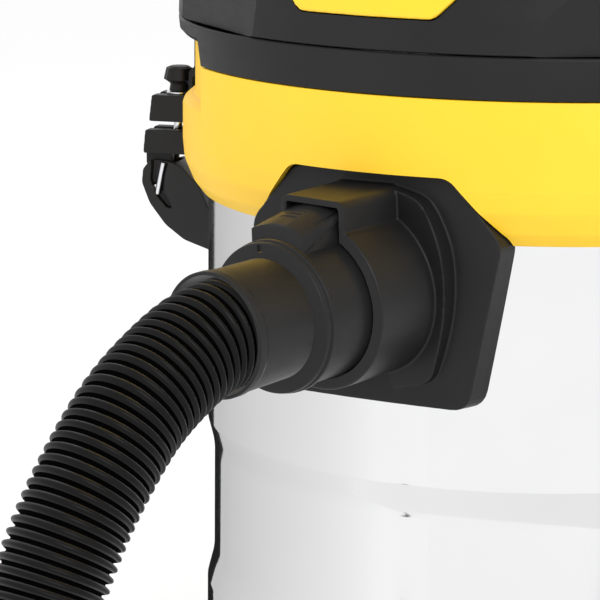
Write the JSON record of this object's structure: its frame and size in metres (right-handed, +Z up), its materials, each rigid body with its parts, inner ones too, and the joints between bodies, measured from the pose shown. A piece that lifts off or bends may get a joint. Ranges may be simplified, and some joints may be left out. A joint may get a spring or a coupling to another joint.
{
  "type": "shop vacuum",
  "caption": "Wet and dry shop vacuum: steel drum on castors, motor head held by side cam latches, angled front inlet with a ribbed suction hose",
  "frame": {"origin": "on the floor, under the centre of the machine's box; the hose and what is on it are left out of that box", "axes": "+Z up, -Y the way the inlet faces, +X to the right as seen from the front"},
  "size_m": [0.5961, 1.0191, 0.5206],
  "materials": {
    "black_plastic": "satin",
    "stainless": "polished",
    "yellow_plastic": "satin",
    "hose_plastic": "satin",
    "dark_rubber": "matte",
    "bright_steel": "polished",
    "motor_core": "satin",
    "fan_metal": "satin",
    "filter_paper": "matte",
    "natural_plastic": "satin"
  },
  "bodies": {
    "machine": {"steel_drum": "stainless", "drum_collar": "yellow_plastic", "base_chassis": "black_plastic", "inlet_socket": "black_plastic", "inlet_deflector": "black_plastic", "head_base": "black_plastic", "head_cover": "black_plastic", "head_gasket": "dark_rubber", "filter_cassette": "black_plastic", "flat_filter": "filter_paper", "motor_housing": "black_plastic", "motor_stator": "motor_core", "motor_bracket": "bright_steel", "lower_bearing": "bright_steel", "upper_bearing": "bright_steel", "motor_damper": "dark_rubber", "float_cage": "natural_plastic", "cord_gland": "dark_rubber", "cord_hook": "black_plastic", "blower_port": "black_plastic", "button_spring": "bright_steel", "handle_pin_left": "bright_steel", "handle_pin_right": "bright_steel", "latch_keeper_left": "black_plastic", "latch_bracket_left": "black_plastic", "latch_pin_left": "bright_steel", "latch_keeper_right": "black_plastic", "latch_bracket_right": "black_plastic", "latch_pin_right": "bright_steel", "connector_body": "black_plastic", "swivel_ring": "black_plastic", "hose_cuff": "black_plastic", "suction_hose": "hose_plastic", "grip_cuff": "black_plastic", "hand_grip": "black_plastic"},
    "door": {"filter_door": "yellow_plastic"},
    "handle": {"carry_handle": "black_plastic"},
    "knob": {"switch_knob": "yellow_plastic"},
    "button": {"clean_button": "yellow_plastic"},
    "float": {"float_ball": "natural_plastic"},
    "rotor": {"motor_rotor": "motor_core", "impeller": "fan_metal"},
    "release": {"release_button": "black_plastic"},
    "slider": {"air_slider": "black_plastic"},
    "lever_left": {"latch_lever_left": "black_plastic"},
    "latch_pull_left": {"latch_rod_left": "bright_steel", "latch_knob_left": "black_plastic"},
    "lever_right": {"latch_lever_right": "black_plastic"},
    "latch_pull_right": {"latch_rod_right": "bright_steel", "latch_knob_right": "black_plastic"},
    "castor_front_left": {"castor_fork_front_left": "black_plastic"},
    "wheel_front_left": {"castor_wheel_front_left": "dark_rubber"},
    "castor_front_right": {"castor_fork_front_right": "black_plastic"},
    "wheel_front_right": {"castor_wheel_front_right": "dark_rubber"},
    "castor_rear_left": {"castor_fork_rear_left": "black_plastic"},
    "wheel_rear_left": {"castor_wheel_rear_left": "dark_rubber"},
    "castor_rear_right": {"castor_fork_rear_right": "black_plastic"},
    "wheel_rear_right": {"castor_wheel_rear_right": "dark_rubber"}
  },
  "joints": [
    {"name": "filter_door_hinge", "type": "hinge", "parent": "machine", "child": "door", "pos_m": [0, -0.02, 0.5014], "axis": [-1, 0, 0], "range_deg": [0, 75]},
    {"name": "carry_handle_hinge", "type": "hinge", "parent": "machine", "child": "handle", "pos_m": [0, 0, 0.512], "axis": [1, 0, 0], "range_deg": [0, 95]},
    {"name": "switch_knob_turn", "type": "hinge", "parent": "machine", "child": "knob", "pos_m": [0.078, -0.045, 0.504], "axis": [0, 0, -1], "range_deg": [0, 90]},
    {"name": "clean_button_press", "type": "slide", "parent": "machine", "child": "button", "axis": [0, 0, -1], "range_m": [0, 0.006], "stiffness_N_per_m": 400, "springref_m": -0.002, "deforming": ["button_spring"]},
    {"name": "float_rise", "type": "slide", "parent": "machine", "child": "float", "axis": [0, 0, 1], "range_m": [0, 0.0235]},
    {"name": "motor_spin", "type": "hinge", "parent": "machine", "child": "rotor", "pos_m": [0, 0.038, 0.44], "axis": [0, 0, 1], "continuous": true},
    {"name": "release_button_press", "type": "slide", "parent": "machine", "child": "release", "axis": [0.0113, 0.0618, -0.998], "range_m": [0, 0.003], "stiffness_N_per_m": 600, "springref_m": -0.002},
    {"name": "air_slider_slide", "type": "slide", "parent": "machine", "child": "slider", "axis": [0, -1, 0], "range_m": [0, 0.01]},
    {"name": "latch_lever_left_hinge", "type": "hinge", "parent": "machine", "child": "lever_left", "pos_m": [-0.1729, -0.04633, 0.332], "axis": [-0.2588, 0.9659, 0], "range_deg": [0, 110]},
    {"name": "latch_rod_left_hinge", "type": "hinge", "parent": "machine", "child": "latch_pull_left", "pos_m": [-0.1729, -0.04633, 0.332], "axis": [0.2588, -0.9659, 0], "range_deg": [0, 75]},
    {"name": "latch_lever_right_hinge", "type": "hinge", "parent": "machine", "child": "lever_right", "pos_m": [0.1729, -0.04633, 0.332], "axis": [-0.2588, -0.9659, 0], "range_deg": [0, 110]},
    {"name": "latch_rod_right_hinge", "type": "hinge", "parent": "machine", "child": "latch_pull_right", "pos_m": [0.1729, -0.04633, 0.332], "axis": [0.2588, 0.9659, 0], "range_deg": [0, 75]},
    {"name": "castor_front_left_swivel", "type": "hinge", "parent": "machine", "child": "castor_front_left", "pos_m": [-0.108, -0.108, 0.06], "axis": [0, 0, 1], "continuous": true},
    {"name": "wheel_front_left_roll", "type": "hinge", "parent": "castor_front_left", "child": "wheel_front_left", "pos_m": [-0.108, -0.09, 0.025], "axis": [1, 0, 0], "continuous": true},
    {"name": "castor_front_right_swivel", "type": "hinge", "parent": "machine", "child": "castor_front_right", "pos_m": [0.108, -0.108, 0.06], "axis": [0, 0, 1], "continuous": true},
    {"name": "wheel_front_right_roll", "type": "hinge", "parent": "castor_front_right", "child": "wheel_front_right", "pos_m": [0.108, -0.09, 0.025], "axis": [1, 0, 0], "continuous": true},
    {"name": "castor_rear_left_swivel", "type": "hinge", "parent": "machine", "child": "castor_rear_left", "pos_m": [-0.108, 0.108, 0.06], "axis": [0, 0, 1], "continuous": true},
    {"name": "wheel_rear_left_roll", "type": "hinge", "parent": "castor_rear_left", "child": "wheel_rear_left", "pos_m": [-0.108, 0.126, 0.025], "axis": [1, 0, 0], "continuous": true},
    {"name": "castor_rear_right_swivel", "type": "hinge", "parent": "machine", "child": "castor_rear_right", "pos_m": [0.108, 0.108, 0.06], "axis": [0, 0, 1], "continuous": true},
    {"name": "wheel_rear_right_roll", "type": "hinge", "parent": "castor_rear_right", "child": "wheel_rear_right", "pos_m": [0.108, 0.126, 0.025], "axis": [1, 0, 0], "continuous": true}
  ]
}
